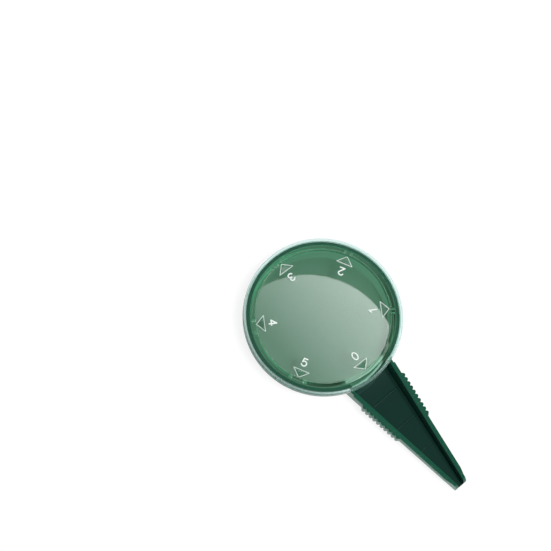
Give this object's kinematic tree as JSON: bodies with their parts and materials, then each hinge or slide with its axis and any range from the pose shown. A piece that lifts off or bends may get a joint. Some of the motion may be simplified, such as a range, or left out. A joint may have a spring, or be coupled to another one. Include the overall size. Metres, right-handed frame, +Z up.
{
  "type": "dial seed sower",
  "caption": "Hand-held seed sower: round green tray with a tapered pouring chute and grip ribs, under a clear turning dial lid with numbered pointers.",
  "frame": {"origin": "on the dial's axis at the flat underside of the tray", "axes": "+X along the chute towards its tip, +Z up along the dial's axis, +Y to the left seen from above"},
  "size_m": [0.1195, 0.065, 0.014],
  "materials": {
    "green_plastic": "smooth moulded dark green plastic, semi-gloss",
    "clear_plastic": "clear polished plastic with a faint cool tint"
  },
  "bodies": {
    "tray": {"seed_tray": "green_plastic"},
    "dial": {"dial_lid": "clear_plastic"}
  },
  "joints": [
    {"name": "dial_turn", "type": "hinge", "parent": "tray", "child": "dial", "pos_m": [0, 0, 0], "axis": [0, 0, 1], "continuous": true}
  ]
}
